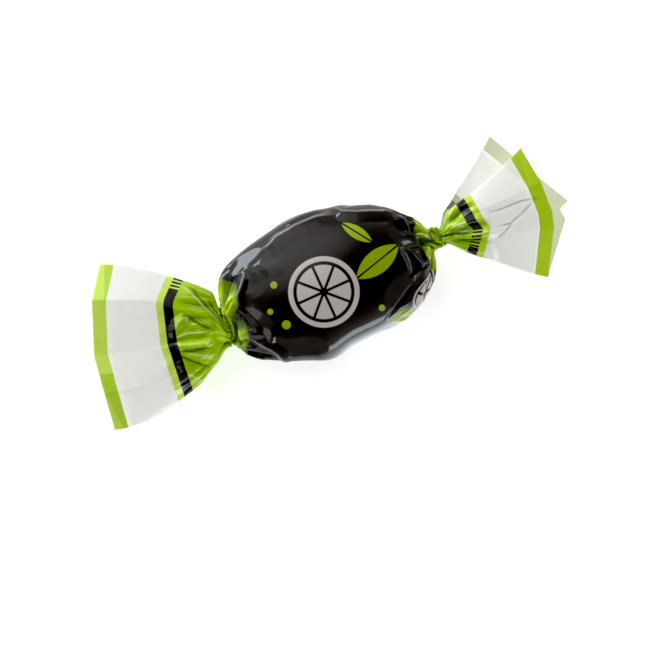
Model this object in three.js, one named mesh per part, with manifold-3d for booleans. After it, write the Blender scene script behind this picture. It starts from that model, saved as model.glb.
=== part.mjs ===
// A sweet in a twist wrapper, lying on its broad side. One sheet of printed film goes round the sweet,
// is twisted shut at both ends and spreads into a fan beyond each twist.
// Millimetres. +X runs along the sweet towards the open fan, +Z is up, and the origin is the centre of
// the flat spot that the wrapped sweet rests on.
import * as THREE from "three";
import { mergeVertices } from "three/addons/utils/BufferGeometryUtils.js";
import Module from "manifold-3d";

// Driving dimensions
const HALF_WIDTH = 9.8; // of the wrapped sweet, seen from above
const HALF_HEIGHT = 5.9;
const SWEET_REACH = 15.9; // from the middle to where the sweet's own height runs out
const SWEET_ROUNDNESS = { inner: 1.9, outer: 0.6 }; // powers that shape its height along its length
const NECK_BLEND = 4; // power that rounds the join of the sweet's outline and the neck's
const NECK_FROM = 9; // distance from the middle where the outline starts to bend to the neck
const REST_SINK = 0.4; // how much of the round underside is pressed flat
const FILM_SLAB = 0.36; // a fan's film is modelled this thick
const LOWEST = 0.35; // the fans stay this far above the table

// Where the film is tied off at each end, and how the sweet's outline runs up to it. The outline is a
// superellipse in each quarter: "far" is the +Y side and "near" the -Y side.
const LEFT = {
  side: -1,
  far: { reach: 15.3, power: 3 },
  near: { reach: 16.8, power: 2.1 },
  neck: { x: -16.4, y: 0.5, z: 5.5, halfWidth: 2.5, halfHeight: 2.1 },
  fanAngle: THREE.MathUtils.degToRad(161),
  flare: { far: 3.0, near: 2.05 },
  neckShare: 0.2,
};
const RIGHT = {
  side: 1,
  far: { reach: 15.4, power: 1.9 },
  near: { reach: 14.6, power: 2.5 },
  neck: { x: 16.5, y: -0.8, z: 5.5, halfWidth: 1.75, halfHeight: 1.6 },
  fanAngle: THREE.MathUtils.degToRad(-10.5),
  flare: { far: 1.15, near: 1.25 },
  neckShare: 0.14,
};

// A fan is one strip of film, from its free edge below, round the fold on the near side, to its free edge on
// top. A ray runs from the twist to a point on the outer edge: out along the fan, across it, and its height
// above the table there.
LEFT.below = [[16.6, 10.1, 2.7], [17.4, 4.5, 1.0], [17.0, -4, 0.9], [16.9, -13.3, 1.5]];
LEFT.above = [[16.9, -13.4, 2.1], [17.7, -8.2, 5.7], [18.7, -2.6, 5.3], [18.2, 5.2, 6.3], [16.7, 10.2, 3.4]];
RIGHT.below = [[10.5, 12.3, 3.2], [15.2, 6.6, 2.0], [19.1, 0.9, 1.2], [18.0, -1.8, 1.4], [13.6, -9.1, 2.0]];
RIGHT.above = [[13.7, -9.3, 2.6], [16.0, -2.7, 6.6], [16.3, -0.4, 6.3], [15.7, 4.0, 7.0], [14.1, 9.4, 6.4]];
const BULGE = 3.4; // how far a fan's film stands off the fan's middle near the twist, as a factor
const FOLD_GAP = 0.6; // between the layers at the fold
const RAY_PLEATS = { count: 9, depth: 0.42, warp: 0.3, phase: 1.1 }; // folds that run out from the twist

// Pleats: how many go round, where they are strongest and how deep they are
const TWIST_TURNS = 1.2; // of the film within each neck
const TWIST_START = 12.6; // distance from the middle where the film starts to turn
const TWIST_LENGTH = 5.4;
const NECK_PLEATS = { count: 5, depth: 0.2, warp: 0.28, phase: 0.6 };
const GATHER_PLEATS = { count: 11, depth: 0.5, warp: 0.35, phase: 2.1, from: 8.5, full: 14 };

// Sharp folds of slack film on the sweet's top, each a ridge along a straight line, given by its ends as
// seen from above, its height and its half width
const RIDGES = [
  { from: [-13.6, 4.6], to: [1.5, 8.7], height: 0.55, halfWidth: 1.5 },
  { from: [1.0, 8.4], to: [12.2, 5.0], height: 0.5, halfWidth: 1.4 },
  { from: [-14.2, 3.6], to: [-12.6, -2.5], height: 0.45, halfWidth: 1.3 },
  { from: [-14.0, -3.4], to: [-7.2, -8.8], height: 0.45, halfWidth: 1.3 },
  { from: [9.9, -6.2], to: [12.6, -0.6], height: 0.4, halfWidth: 1.2 },
  { from: [9.9, -6.2], to: [3.4, -8.6], height: 0.35, halfWidth: 1.1 },
];

// How finely the surfaces are divided
const ROUND_STEPS = 64;
const BODY_STEP = 1.0;
const GATHER_STEP = 0.5;
const GATHER_FROM = 11;
const ROOT_STEPS = 5;
const ROOT_SHARE = 0.13; // the twist's solid core tapers away over this share of a fan's length
const ROOT_END = { width: 0.45, height: 0.3 }; // of the neck's own size, where the core ends
const FAN_FROM = 0.015; // share of a fan's length where its film comes out of the core
const FAN_ALONG = 14;
const FAN_STEP = 1.5; // along the outer edge
const SAME_POINT = 1e-4;
const SHORTEST_DETAIL = 0.02; // anything finer, left where two surfaces cross, is smoothed over

const { clamp, lerp, smoothstep } = THREE.MathUtils;
const FULL_TURN = 2 * Math.PI;
const triangleWave = (angle) => (2 / Math.PI) * Math.asin(Math.sin(angle));
const roundedMax = (a, b) => Math.pow(Math.pow(a, NECK_BLEND) + Math.pow(b, NECK_BLEND), 1 / NECK_BLEND);

// The sweet's half width at x, as a share of its widest, on the far (+1) or near (-1) side
function outlineShare(x, across) {
  const end = x < 0 ? LEFT : RIGHT;
  const { reach, power } = across > 0 ? end.far : end.near;
  return Math.pow(Math.max(0, 1 - Math.pow(Math.abs(x) / reach, power)), 1 / power);
}

// The same for its half height
function heightShare(x) {
  const { inner, outer } = SWEET_ROUNDNESS;
  return Math.pow(Math.max(0, 1 - Math.pow(Math.abs(x) / SWEET_REACH, inner)), outer);
}

// The angle by which the film has turned at x
function twistAt(x) {
  const turned = (distance) => smoothstep(distance, TWIST_START, TWIST_START + TWIST_LENGTH);
  return FULL_TURN * TWIST_TURNS * (turned(x) - turned(-x));
}

function pleat({ count, warp, phase }, angle) {
  const warped = angle + warp * Math.sin(2 * angle + phase) + 0.5 * warp * Math.sin(3 * angle - phase);
  return triangleWave(count * warped + phase);
}

// Depth of the pleats round the sweet, outwards, at x and an angle round the section
function pleatsAt(x, angle, radius) {
  const turned = angle - twistAt(x);
  const gathered = smoothstep(Math.abs(x), GATHER_PLEATS.from, GATHER_PLEATS.full);
  const necked = smoothstep(Math.abs(x), GATHER_PLEATS.full - 1.5, GATHER_PLEATS.full + 2);
  const gather = GATHER_PLEATS.depth * gathered * (1 - 0.7 * necked) * pleat(GATHER_PLEATS, turned);
  const neck = NECK_PLEATS.depth * radius * necked * pleat(NECK_PLEATS, turned);
  return gather + neck;
}

// Height of the slack folds at a point of the top, seen from above
function ridgesAt(x, y) {
  let height = 0;
  for (const ridge of RIDGES) {
    const [ax, ay] = ridge.from;
    const [bx, by] = ridge.to;
    const lengthSquared = (bx - ax) ** 2 + (by - ay) ** 2;
    const along = clamp(((x - ax) * (bx - ax) + (y - ay) * (by - ay)) / lengthSquared, 0, 1);
    const away = Math.hypot(x - lerp(ax, bx, along), y - lerp(ay, by, along));
    const fade = Math.sqrt(Math.max(0, Math.sin(Math.PI * clamp(along, 0.04, 0.96))));
    height = Math.max(height, ridge.height * fade * Math.max(0, 1 - away / ridge.halfWidth));
  }
  return height;
}

// One ring of the wrapped sweet, square to X, from the sweet's middle out to the neck
function bodyRing(x) {
  const end = x < 0 ? LEFT : RIGHT;
  const { neck } = end;
  const towardsNeck = smoothstep(Math.abs(x), NECK_FROM, Math.abs(neck.x));
  const centreY = neck.y * towardsNeck;
  const centreZ = lerp(HALF_HEIGHT - REST_SINK, neck.z, towardsNeck);
  const halfHeight = roundedMax(HALF_HEIGHT * heightShare(x), neck.halfHeight);
  const ring = [];
  for (let i = 0; i < ROUND_STEPS; i++) {
    const angle = (FULL_TURN * i) / ROUND_STEPS;
    const cos = Math.cos(angle);
    const sin = Math.sin(angle);
    const halfWidth = roundedMax(HALF_WIDTH * outlineShare(x, cos), neck.halfWidth);
    const radius = Math.hypot(halfWidth * cos, halfHeight * sin);
    const out = pleatsAt(x, angle, radius);
    const y = centreY + (halfWidth + out) * cos;
    const z = centreZ + (halfHeight + out + (sin > 0 ? ridgesAt(x, y) * sin : 0)) * sin;
    ring.push([x, y, Math.max(0, z)]);
  }
  return ring;
}

// How far across a point of a fan lies at a share of the fan's length, when its ray ends that far across
function spread(end, share, across) {
  const flare = across > 0 ? end.flare.far : end.flare.near;
  return across * (1 - (1 - end.neckShare) * Math.pow(1 - share, flare));
}

// A point of a fan: out along it, across it and its height. The root bends from the sweet's own axis to
// the fan's, and bent is the share of that bend behind the point.
function fanPoint(end, along, across, height, bent = 1) {
  const straight = end.side > 0 ? 0 : Math.PI;
  const angle = lerp(straight, end.fanAngle, bent);
  const cos = Math.cos(angle);
  const sin = Math.sin(angle);
  // Across is towards +Y on both fans
  const left = end.side * across;
  return [end.neck.x + along * cos - left * sin, end.neck.y + along * sin + left * cos, height];
}

// One ring of the twist's core, square to the fan, at a share of the fan's length
function rootRing(end, share) {
  const opened = share / ROOT_SHARE;
  const halfWidth = end.neck.halfWidth * lerp(1, ROOT_END.width, opened * opened);
  const halfHeight = end.neck.halfHeight * lerp(1, ROOT_END.height, opened * opened);
  const ring = [];
  for (let i = 0; i < ROUND_STEPS; i++) {
    const angle = (FULL_TURN * i) / ROUND_STEPS;
    const pleats = pleat(NECK_PLEATS, angle - twistAt(end.side * (TWIST_START + TWIST_LENGTH)));
    const out = 1 + NECK_PLEATS.depth * pleats;
    const across = halfWidth * Math.cos(angle) * out;
    const height = end.neck.z + halfHeight * Math.sin(angle) * out;
    ring.push(fanPoint(end, share * end.above[2][0], across, height, opened));
  }
  return ring;
}

// The triangles of the wall through a row of closed rings that all hold the same number of points
function wallTriangles(ringCount, pointCount) {
  const triangles = [];
  for (let r = 0; r + 1 < ringCount; r++)
    for (let i = 0; i < pointCount; i++) {
      const a = r * pointCount + i;
      const b = r * pointCount + ((i + 1) % pointCount);
      triangles.push(a, b, b + pointCount, a, b + pointCount, a + pointCount);
    }
  return triangles;
}

// A closed mesh through round rings, each end closed towards the middle of its ring
function roundLoft(rings) {
  const count = rings[0].length;
  const positions = rings.flat(2);
  const triangles = wallTriangles(rings.length, count);
  const closeRound = (ring, start, outward) => {
    const centre = [0, 1, 2].map((k) => ring.reduce((sum, point) => sum + point[k], 0) / count);
    const middle = positions.length / 3;
    positions.push(...centre);
    for (let i = 0; i < count; i++) {
      const a = start + i;
      const b = start + ((i + 1) % count);
      triangles.push(...(outward ? [middle, a, b] : [middle, b, a]));
    }
  };
  closeRound(rings[0], 0, false);
  closeRound(rings[rings.length - 1], (rings.length - 1) * count, true);
  return asGeometry(positions, triangles);
}

// A closed mesh through rings that run along a thin strip, there and back, each end closed across the strip
function stripLoft(rings) {
  const count = rings[0].length;
  const triangles = wallTriangles(rings.length, count);
  const closeAcross = (start, outward) => {
    for (let i = 0; i + 1 < count / 2; i++) {
      const [a, b] = [start + i, start + i + 1];
      const [c, d] = [start + count - 2 - i, start + count - 1 - i];
      triangles.push(...(outward ? [a, b, c, a, c, d] : [a, c, b, a, d, c]));
    }
  };
  closeAcross(0, false);
  closeAcross((rings.length - 1) * count, true);
  return asGeometry(rings.flat(2), triangles);
}

function asGeometry(positions, triangles) {
  const geometry = new THREE.BufferGeometry();
  geometry.setAttribute("position", new THREE.Float32BufferAttribute(positions, 3));
  geometry.setIndex(triangles);
  return geometry;
}

// The points of a fan's outer edge in order, each with the layer it is on and its share of the way across
function edgePoints(end) {
  const points = [];
  for (const [layer, rays] of [[-1, end.below], [1, end.above]])
    for (let r = 0; r + 1 < rays.length; r++) {
      const steps = Math.ceil(Math.hypot(...rays[r].map((value, k) => rays[r + 1][k] - value)) / FAN_STEP);
      for (let i = r === 0 ? 0 : 1; i <= steps; i++) {
        const ray = rays[r].map((value, k) => lerp(value, rays[r + 1][k], i / steps));
        points.push({ layer, ray, share: (r + i / steps) / (rays.length - 1) });
      }
    }
  return points;
}

// The middle of the film at a share of the way out to a point of the outer edge
function filmPoint(end, { layer, ray, share }, outShare) {
  const [along, across, height] = ray;
  const inside = Math.sin(Math.PI * share);
  const folds = RAY_PLEATS.depth * pleat(RAY_PLEATS, Math.PI * share) * inside;
  const bulge = layer * (BULGE * Math.sqrt(inside) + FOLD_GAP / 2) + folds;
  const straight = lerp(end.neck.z + (layer * FOLD_GAP) / 2, height, outShare);
  const z = straight + bulge * Math.sqrt(outShare) * (1 - outShare);
  const lifted = Math.max(z, LOWEST + FILM_SLAB / 2);
  return new THREE.Vector3(...fanPoint(end, along * outShare, spread(end, outShare, across), lifted));
}

// A fan's film as a thin wavy slab, its two faces divided alike
function fanSlab(end) {
  const edge = edgePoints(end);
  const rows = [];
  for (let j = 0; j <= FAN_ALONG; j++)
    rows.push(edge.map((point) => filmPoint(end, point, lerp(FAN_FROM, 1, j / FAN_ALONG))));
  const last = edge.length - 1;
  const rings = rows.map((row, j) => {
    const outer = [];
    const inner = [];
    row.forEach((point, i) => {
      const across = row[Math.min(i + 1, last)].clone().sub(row[Math.max(i - 1, 0)]);
      const out = rows[Math.min(j + 1, FAN_ALONG)][i].clone().sub(rows[Math.max(j - 1, 0)][i]);
      const half = across.cross(out).setLength(FILM_SLAB / 2);
      outer.push(point.clone().add(half).toArray());
      inner.push(point.clone().sub(half).toArray());
    });
    return [...outer, ...inner.reverse()];
  });
  return stripLoft(rings);
}

function stationsAlongBody() {
  const stations = [];
  const left = LEFT.neck.x;
  const right = RIGHT.neck.x;
  for (let x = left; x < right - GATHER_STEP / 2; x += Math.abs(x) < GATHER_FROM ? BODY_STEP : GATHER_STEP)
    stations.push(x);
  return [...stations, right];
}

function bodyAndRoots() {
  const rings = stationsAlongBody().map(bodyRing);
  for (let j = 1; j <= ROOT_STEPS; j++) {
    const share = (ROOT_SHARE * j) / ROOT_STEPS;
    rings.push(rootRing(RIGHT, share));
    rings.unshift(rootRing(LEFT, share));
  }
  return roundLoft(rings);
}

// Joining
const wasm = await Module();
wasm.setup();

// A solid that faces outwards
function toSolid(geometry) {
  const merged = mergeVertices(geometry, SAME_POINT);
  const corners = new Uint32Array(merged.index.array);
  const make = () =>
    new wasm.Manifold(
      new wasm.Mesh({ numProp: 3, vertProperties: merged.attributes.position.array, triVerts: corners }),
    );
  const solid = make();
  if (solid.volume() > 0) return solid;
  for (let i = 0; i < corners.length; i += 3) corners.subarray(i, i + 3).reverse();
  return make();
}

function toGeometry(solid) {
  const mesh = solid.getMesh();
  const positions = [];
  for (let i = 0; i < mesh.numVert; i++) {
    const start = i * mesh.numProp;
    positions.push(...mesh.vertProperties.slice(start, start + 3));
  }
  return asGeometry(positions, Array.from(mesh.triVerts));
}

// The outer skin alone: pockets shut in where the film is gathered are solid
function withoutPockets(solid) {
  const shells = solid.decompose();
  return shells.reduce((largest, shell) => (shell.volume() > largest.volume() ? shell : largest));
}

let wrapped = toSolid(bodyAndRoots());
for (const end of [LEFT, RIGHT]) wrapped = wrapped.add(toSolid(fanSlab(end)));
wrapped = withoutPockets(wrapped).simplify(SHORTEST_DETAIL);

const film = new THREE.MeshStandardMaterial({ color: 0x1e1917, roughness: 0.2, metalness: 0 });
const candy = new THREE.Mesh(toGeometry(wrapped), film);
candy.name = "wrapped_candy";

const part = new THREE.Group();
part.add(candy);
export default part;
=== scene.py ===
"""The looks of a sweet in a twist wrapper: one printed film round the sweet, twisted at both ends.

The film is three pieces in one frame: the sleeve round the sweet up to both twists, and a fan beyond each
twist. Shapes are worked out in millimetres and made in metres. x runs along the sweet, z is up.
"""
import math

import bpy
import numpy as np
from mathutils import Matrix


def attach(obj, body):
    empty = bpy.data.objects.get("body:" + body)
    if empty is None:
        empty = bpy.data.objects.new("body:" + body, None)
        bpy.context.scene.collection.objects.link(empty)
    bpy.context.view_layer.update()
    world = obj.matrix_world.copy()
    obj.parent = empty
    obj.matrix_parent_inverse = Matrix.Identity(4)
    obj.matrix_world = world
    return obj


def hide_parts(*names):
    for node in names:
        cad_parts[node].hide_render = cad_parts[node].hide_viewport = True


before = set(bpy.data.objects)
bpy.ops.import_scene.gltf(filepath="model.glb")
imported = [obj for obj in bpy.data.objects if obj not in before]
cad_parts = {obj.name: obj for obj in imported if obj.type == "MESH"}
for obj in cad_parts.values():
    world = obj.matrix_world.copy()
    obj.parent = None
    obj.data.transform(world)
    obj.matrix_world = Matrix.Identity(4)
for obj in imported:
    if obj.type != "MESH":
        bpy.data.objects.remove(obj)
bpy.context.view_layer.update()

MM = 0.001

# ------------ sizes
# The sweet in its sleeve of film
HALF_WIDTH = 9.8
HALF_HEIGHT = 5.9
SWEET_REACH = 15.9
SWEET_ROUNDNESS = (1.9, 0.6)
NECK_FROM = 9.0
NECK_BLEND = 4  # a power: how tightly the sweet's curve meets the neck's
REST_SINK = 0.4  # how deep the underside is flattened

# The gather and the twist: the distances from the sweet's middle at which each starts and is full
GATHERED = (9.0, 15.0)
TIGHT = (14.5, 17.0)
TWISTED = (14.8, 18.2)
TWIST_TURNS = 0.45
PINCH_LENGTH = 1.4

# The fans
FAN_OPENS = 0.1  # the share of a fan's length in which it opens from the pinch
ROOT_OVERLAP = 0.4  # how far a fan's root reaches into the sleeve
FOLD_GAP = 0.5  # between a fan's two layers
BULGE = 3.4  # how far the layers stand apart midway
GATHER_RUN = 12.0  # how far the gather's folds run on along a fan
FILM_THICK = 0.05
LOWEST = 0.35  # the least height of a fan's film

# Each end. "far" and "near" are the reach and power of the sweet's outline. "opening" is the share of its
# width at which a side of the fan starts, and its rate. "below" and "above" are the corners of a layer's cut
# edge: their place along and across the fan's axis, and their height.
LEFT = {
    "side": -1,
    "seed": 31,
    "far": (15.3, 3.0),
    "near": (16.8, 2.1),
    "neck": (-16.4, 0.5, 5.5),
    "neck_half": (2.4, 2.0),
    "pinch": (-16.6, -1.5, 5.6),
    "pinch_radius": 1.1,
    "angle": math.radians(161),
    "opening": {"far_above": (0.38, 1.57), "far_below": (0.38, 1.57), "near": (0.26, 1.9)},
    "below": [[16.7, 10.1, 2.7], [18.2, 5.2, 1], [18.7, -2.6, 0.9], [17.7, -8.2, 0.9], [16.9, -13.3, 1.5]],
    "above": [[16.9, -13.4, 2.1], [17.7, -8.2, 5.7], [18.7, -2.6, 5.3], [18.2, 5.2, 6.3], [16.7, 10.2, 4.2]],
}
RIGHT = {
    "side": 1,
    "seed": 47,
    "far": (15.4, 1.9),
    "near": (14.6, 2.5),
    "neck": (16.5, -0.8, 5.5),
    "neck_half": (1.5, 1.5),
    "pinch": (17.0, -1.1, 5.5),
    "pinch_radius": 1.0,
    "angle": math.radians(-10.5),
    "opening": {"far_above": (0.27, 0.9), "far_below": (0.2, 0.92), "near": (0.1, 1.15)},
    "below": [
        [10.4, 12.2, 3.2], [14.9, 6.1, 2.0], [19.1, 0.6, 1.4],
        [17.7, -0.3, 1.5], [18.1, -1.9, 1.4], [13.8, -9.0, 2.0],
    ],
    "above": [[13.7, -9.3, 3.0], [16.0, -2.7, 5.9], [16.3, -0.4, 6.2], [15.7, 4.0, 7.0], [14.1, 9.4, 6.4]],
}

# The fans' print, as distances from the film's cut edge
EDGE_STRIPE = 2.0
LINE_FROM = 9.0
BLACK_FROM = 10.0
BLACK_TO = 11.4
FREE_END = 0.12  # the line along the film's free ends

# The print on the body
FILM_ROUND = 50.0  # once round the sweet, from its far side over the top
BODY_BLACK = 13.9  # half the length of the black print
LEFT_BLACK = [  # the same on top at the left, by y
    (-8, 15.0), (-4, 14.8), (-2.4, 13.6), (0.3, 14.2), (2.6, 13.2), (4.4, 12.5), (6, 13.6), (8, 14.0),
]
TOP_FROM = 6.5
UNDER_TO = 4.2

# Slices of fruit: centre, radius and number of parts. The rim, flesh and hub end at shares of the radius
SLICE_ON_TOP = ((-1.6, -1.2), 5.0, 8)
SLICE_UNDER = ((1.6, 1.0), 5.0, 8)
SLICE_AT_SIDE = ((11.4, 22.3), 2.4, 6)
SLICE_RIM = 0.86
SLICE_FLESH = 0.76
SLICE_HUB = 0.12
SLICE_GAP = 0.2

# Leaves: the centres of two circles and their radius. Drops: centre and radius
LEAVES_ON_TOP = [((7.9, -3.9), (6.1, 3.0), 5.2), ((3.2, 2.6), (8.9, 6.4), 4.3)]
LEAF_UNDER = ((-7.9, 3.9), (-6.1, -3.0), 5.2)
LEAF_AT_SIDE = ((8.9, 20.6), (5.9, 24.6), 3.6)
LEAF_VEIN = 0.22
DROPS = [((-8.3, -3.2), 0.62), ((-9.6, -0.6), 0.42), ((-7.6, 2.6), 0.5), ((4.9, -6.6), 0.45)]

# How softly print ends
SHARP = 0.0002
STRIPE_SOFT = 0.04
PRINT_SOFT = 0.05

# Colours
WHITE = (1.0, 1.0, 1.0)
BLACK = (0.0085, 0.0062, 0.005)
# A painted highlight on the crests of the black film's folds
BLACK_CREST_HIGHLIGHT = (0.45, 0.46, 0.48)
GREY = (0.50, 0.465, 0.44)
# The near side's milky margin: partly unprinted film, partly a painted reflection of the pale floor
MILKY_SHEEN = (0.9, 0.95, 1.0)
# Painted shade along the clear film's grooves, also used for the darker line along its free ends
CLEAR_GROOVE_SHADE = (0.14, 0.14, 0.12)
LEAF_LIME = (0.26, 0.37, 0.01)
GATHER_LIME = (0.30, 0.48, 0.001)
GATHER_LIME_LIT = (0.44, 0.64, 0.004)
# A painted highlight on the lime's crests, and painted shade in its folds and grooves
LIME_CREST_HIGHLIGHT = (0.8, 0.9, 0.5)
LIME_FOLD_SHADE = (0.02, 0.05, 0.0)
LIME_GROOVE_SHADE = (0.015, 0.035, 0.0)
LIME_BY_BLACK = (0.05, 0.095, 0.0)
LIME_PALE = (0.88, 0.94, 0.67)
# Each fan's inks hold a painted light for raised folds near the pinch, a painted shade for their hollows and
# grooves, and a painted highlight for crests
OUTSIDE_INKS = {
    "lime_deep": (0.315, 0.53, 0.0005),
    "lit": (0.5, 0.73, 0.01),
    "shade": (0.03, 0.07, 0.0),
    "crest_highlight": LIME_CREST_HIGHLIGHT,
    "black": BLACK,
    "clear": (0.8, 0.796, 0.768),
    "printed_alpha": 0.97,
    "clear_alpha": 0.68,
}
INSIDE_INKS = {
    "lime": LIME_PALE,
    "lime_deep": (0.94, 0.97, 0.82),
    "lit": LIME_PALE,
    "shade": (0.4, 0.5, 0.25),
    "crest_highlight": (0.85, 0.9, 0.75),
    "black": (0.45, 0.45, 0.45),
    "clear": (0.8, 0.8, 0.79),
    "printed_alpha": 0.93,
    "clear_alpha": 0.04,
}

# How finely the film is divided, and the painted highlight and shade lines on its creases
SLEEVE_ROUND = 320
SLEEVE_ALONG = 270
PINCH_ROWS = 18
FAN_ACROSS = 300
FAN_ALONG = 150
UV_SPAN = 100.0  # millimetres of film to one unit of its map
CREST_WIDTH = 0.09
SOFT_FOLD = 0.25  # folds up to this height get no painted highlight along their crest
SLEEVE_GROOVE_WIDTH = 0.15
SLEEVE_SOFT_FOLD = 0.45
CRINKLE_DEPTH = 0.35 * MM

# The photo's view: the sweet's axis rises to the right in it by VIEW_ROLL degrees
VIEW_ROLL = 24.5
VIEW_CENTRE = (-2.86, -6.87)
VIEW_WIDTH = 94.03
CAMERA_HEIGHT = 620.0
VIEW_PLANE = 5.0  # the height at which the view is that wide
SENSOR = 36.0

# Light
FLOOR_HALF = 1.5  # metres
FLOOR_GLOW = 0.64  # the pale floor is lit a little from below, as a light table is
BLACK_LEVEL = 0.012
SKY_RISE = (0.3, 0.95)  # the heights in the sky between which it goes from one light to the other
SKY_LIGHT = (0.32, 0.1)
SKY_TINT = (1.0, 0.965, 0.94)
WINDOW = (130, 46)  # azimuth and elevation of a large soft light in the sky
WINDOW_EDGE = (0.78, 0.985)  # its light rises between these cosines of the angle from its middle
WINDOW_LIGHT = 1.8


# ------------ small helpers
def smoothstep(value, low, high):
    t = np.clip((np.asarray(value, float) - low) / (high - low), 0, 1)
    return t * t * (3 - 2 * t)


def mix(a, b, t):
    return a + (b - a) * t


def rounded_max(a, b):
    return (a**NECK_BLEND + b**NECK_BLEND) ** (1 / NECK_BLEND)


def soft_peak(distance, width, rounding):
    """A crease's profile: a flat slope on each side of a crest that is rounded over a small length."""
    return np.maximum(0, 1 - (np.sqrt(distance**2 + rounding**2) - rounding) / (1.6 * width))


def crease(x, y, points, height, left, right, rounding=0.08):
    """Height of a fold along a line of points, with its own width on each side. It fades at its ends."""
    lengths = [math.dist(a, b) for a, b in zip(points, points[1:])]
    total = sum(lengths)
    best = np.zeros_like(x)
    walked = 0.0
    for (ax, ay), (bx, by), length in zip(points, points[1:], lengths):
        dx = (bx - ax) / length
        dy = (by - ay) / length
        along = np.clip((x - ax) * dx + (y - ay) * dy, 0, length)
        away_x = x - (ax + dx * along)
        away_y = y - (ay + dy * along)
        distance = np.hypot(away_x, away_y)
        on_left = away_y * dx - away_x * dy > 0
        width = np.where(on_left, left, right)
        share = (walked + along) / total
        fade = np.minimum(1, np.minimum(share, 1 - share) / 0.25 + 0.12)
        best = np.maximum(best, soft_peak(distance, width, rounding) * fade)
        walked += length
    return height * best


def crumple(x, y, seed, size, count):
    """Flat facets with sharp edges, as film crumples: the highest of several sets of waves."""
    draw = np.random.default_rng(seed)
    field = np.full_like(x, -9.0)
    for _ in range(count):
        turn = draw.uniform(0, 2 * math.pi)
        wave = size * draw.uniform(0.7, 1.5)
        bend = draw.uniform(0, 2 * math.pi, 2)
        bent_x = x + 0.35 * size * np.sin(y / size * 1.3 + bend[0])
        bent_y = y + 0.35 * size * np.sin(x / size * 1.1 + bend[1])
        phase = (bent_x * math.cos(turn) + bent_y * math.sin(turn)) / wave + draw.uniform(0, 6)
        field = np.maximum(field, 1 - 2 * np.abs(phase % 2 - 1) - draw.uniform(0, 0.3))
    return field - 0.6


# ------------ the sleeve round the sweet
def outline_share(x, across):
    """The sweet's half width at x as a share of its widest, far or near side."""
    result = np.zeros_like(x)
    for end, at_end in ((LEFT, x < 0), (RIGHT, x >= 0)):
        for key, on_side in (("far", across > 0), ("near", across <= 0)):
            reach, power = end[key]
            share = np.clip(1 - (np.abs(x) / reach) ** power, 0, 1) ** (1 / power)
            result = np.where(at_end & on_side, share, result)
    return result


def height_share(x):
    inner, outer = SWEET_ROUNDNESS
    return np.clip(1 - (np.abs(x) / SWEET_REACH) ** inner, 0, 1) ** outer


def neck_value(x, key, index):
    return np.where(x < 0, LEFT[key][index], RIGHT[key][index])


def twist_at(distance):
    """How far the film has turned at a distance from the sweet's middle. Both twists turn the same way."""
    return 2 * math.pi * TWIST_TURNS * smoothstep(distance, *TWISTED)


def pleats_round(angle, distance, seed, counts):
    """Flat facets with sharp crests between them, by angle round the film. They run along it, a bit bent."""
    draw = np.random.default_rng(seed)
    field = np.full_like(angle, -9.0)
    for count in counts:
        phase = draw.uniform(0, 2)
        lean = draw.uniform(-0.09, 0.09)
        wander = draw.uniform(0.1, 0.35) * np.sin(angle + draw.uniform(0, 6))
        wave = (angle * count / math.pi + phase + lean * distance + wander) % 2
        field = np.maximum(field, 1 - 2 * np.abs(wave - 1) - draw.uniform(0, 0.35))
    return field - 0.45


def gather(angle, distance, seed):
    """Folds that gather the film into the twist, by angle round it and distance from the sweet's middle."""
    turned = angle - twist_at(distance)
    started = smoothstep(distance, *GATHERED)
    tight = smoothstep(distance, *TIGHT)
    deep = pleats_round(turned, distance, seed, (4, 5, 7)) * mix(0.9, 0.45, tight)
    fine = pleats_round(turned, distance, seed + 1, (7, 9)) * mix(0.06, 0.12, tight)
    return deep * started**1.6 + fine * started


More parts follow.
